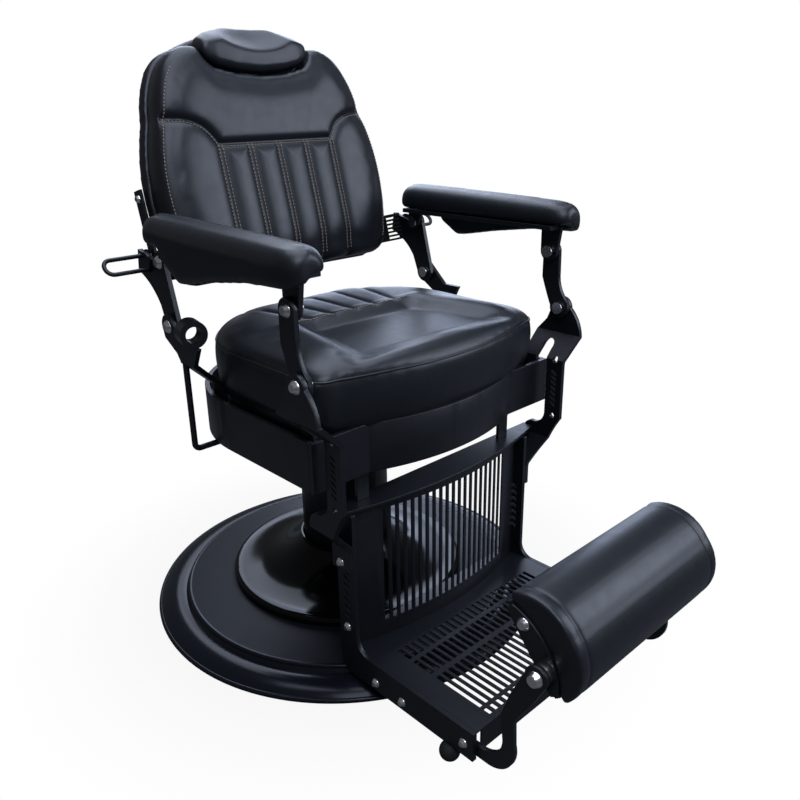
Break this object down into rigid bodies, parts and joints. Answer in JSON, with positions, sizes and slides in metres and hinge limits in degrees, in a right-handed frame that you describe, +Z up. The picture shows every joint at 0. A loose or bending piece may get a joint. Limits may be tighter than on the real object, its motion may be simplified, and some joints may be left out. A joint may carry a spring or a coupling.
{
  "type": "barber chair",
  "caption": "Barber chair on a round pump base: channelled tilting back with headrest, padded arms that follow it, bow-front seat, slotted footrest and half-round calf roll.",
  "frame": {"origin": "on the floor, under the middle of the round base", "axes": "+Z up, -Y towards the footrest, +X towards the sitter's left"},
  "size_m": [0.75, 1.0476, 1.0421],
  "materials": {
    "base_paint": "satin",
    "gloss_black": "gloss",
    "black_paint": "satin",
    "bare_steel": "turned",
    "bright_bolts": "polished",
    "black_rubber": "matte",
    "plywood": "black stain",
    "black_leather": "satin grain"
  },
  "bodies": {
    "base": {"base_plate": "base_paint", "base_floor_pad": "black_rubber", "column_cover": "gloss_black", "pump_socket": "bare_steel", "swivel_bearing": "bare_steel"},
    "pump": {"pump_housing": "black_paint", "pump_pedal_pin": "bright_bolts"},
    "pedal": {"pump_pedal": "black_paint", "pedal_pad": "black_rubber"},
    "seat": {"lift_piston": "bare_steel", "seat_mount_plate": "black_paint", "frame_rail_left": "black_paint", "frame_rail_right": "black_paint", "seat_board": "plywood", "seat_cushion": "black_leather", "apron_shell": "black_paint", "apron_front": "black_paint", "front_bracket_left": "black_paint", "front_bracket_right": "black_paint", "rear_bracket_left": "black_paint", "rear_bracket_right": "black_paint", "tool_ring": "black_paint", "towel_bar": "black_paint", "seat_pivot_bolts": "bright_bolts", "footrest_flange": "black_paint", "footrest_grille": "black_paint", "footrest_side_left": "black_paint", "footrest_side_right": "black_paint", "footplate_tread": "black_paint", "footrest_strap_left": "black_paint", "footrest_strap_right": "black_paint", "footrest_bumpers": "black_rubber", "footrest_bolts": "bright_bolts", "calf_hook_left": "black_paint", "calf_hook_right": "black_paint", "calf_crossbar": "black_paint"},
    "calf": {"calf_pad": "black_leather", "calf_board": "plywood", "calf_end_plates": "black_paint", "calf_pivot_bolts": "bright_bolts"},
    "back": {"back_cushion": "black_leather", "back_board": "plywood", "back_shell": "black_leather", "back_bracket_left": "black_paint", "back_bracket_right": "black_paint", "back_bolts": "bright_bolts"},
    "headrest": {"headrest_pad": "black_leather", "headrest_plate": "black_paint", "headrest_bar": "bare_steel"},
    "link_left": {"arm_link_left": "black_paint"},
    "link_right": {"arm_link_right": "black_paint"},
    "arm_left": {"arm_pad_left": "black_leather", "arm_frame_left": "black_paint", "arm_front_bolt_left": "bright_bolts"},
    "arm_right": {"arm_pad_right": "black_leather", "arm_frame_right": "black_paint", "arm_front_bolt_right": "bright_bolts"},
    "loop_left": {"release_loop_left": "black_paint"},
    "loop_right": {"release_loop_right": "black_paint"}
  },
  "joints": [
    {"name": "swivel", "type": "hinge", "parent": "base", "child": "pump", "pos_m": [0, 0, 0.085], "axis": [0, 0, 1], "continuous": true},
    {"name": "pedal_press", "type": "hinge", "parent": "pump", "child": "pedal", "pos_m": [0.07093, 0.07606, 0.15], "axis": [-0.7314, 0.682, 0], "range_deg": [0, 12], "stiffness_Nm_per_rad": 40, "springref_deg": -8.59},
    {"name": "seat_lift", "type": "slide", "parent": "pump", "child": "seat", "axis": [0, 0, 1], "range_m": [0, 0.15]},
    {"name": "calf_tilt", "type": "hinge", "parent": "seat", "child": "calf", "pos_m": [0, -0.622, 0.234], "axis": [1, 0, 0], "range_deg": [-30, 60]},
    {"name": "recline", "type": "hinge", "parent": "seat", "child": "back", "pos_m": [0, 0.06, 0.581], "axis": [-1, 0, 0], "range_deg": [0, 35]},
    {"name": "link_left_tilt", "type": "hinge", "parent": "seat", "child": "link_left", "pos_m": [0.288, -0.28, 0.563], "axis": [-1, 0, 0], "range_deg": [0, 35]},
    {"name": "link_right_tilt", "type": "hinge", "parent": "seat", "child": "link_right", "pos_m": [-0.288, -0.28, 0.563], "axis": [-1, 0, 0], "range_deg": [0, 35]},
    {"name": "arm_left_level", "type": "hinge", "parent": "link_left", "child": "arm_left", "pos_m": [0.288, -0.258, 0.663], "axis": [-1, 0, 0], "range_deg": [-35, 0]},
    {"name": "arm_right_level", "type": "hinge", "parent": "link_right", "child": "arm_right", "pos_m": [-0.288, -0.258, 0.663], "axis": [-1, 0, 0], "range_deg": [-35, 0]},
    {"name": "headrest_height", "type": "slide", "parent": "back", "child": "headrest", "axis": [0, 0.2588, 0.9659], "range_m": [0, 0.08]},
    {"name": "loop_left_pull", "type": "slide", "parent": "back", "child": "loop_left", "axis": [1, 0, 0], "range_m": [0, 0.006], "stiffness_N_per_m": 1500, "springref_m": -0.004},
    {"name": "loop_right_pull", "type": "slide", "parent": "back", "child": "loop_right", "axis": [-1, 0, 0], "range_m": [0, 0.006], "stiffness_N_per_m": 1500, "springref_m": -0.004}
  ],
  "couplings": [
    {"joint": "link_left_tilt", "follows": "recline", "ratio": 1},
    {"joint": "link_right_tilt", "follows": "recline", "ratio": 1},
    {"joint": "arm_left_level", "follows": "recline", "ratio": -1},
    {"joint": "arm_right_level", "follows": "recline", "ratio": -1}
  ]
}
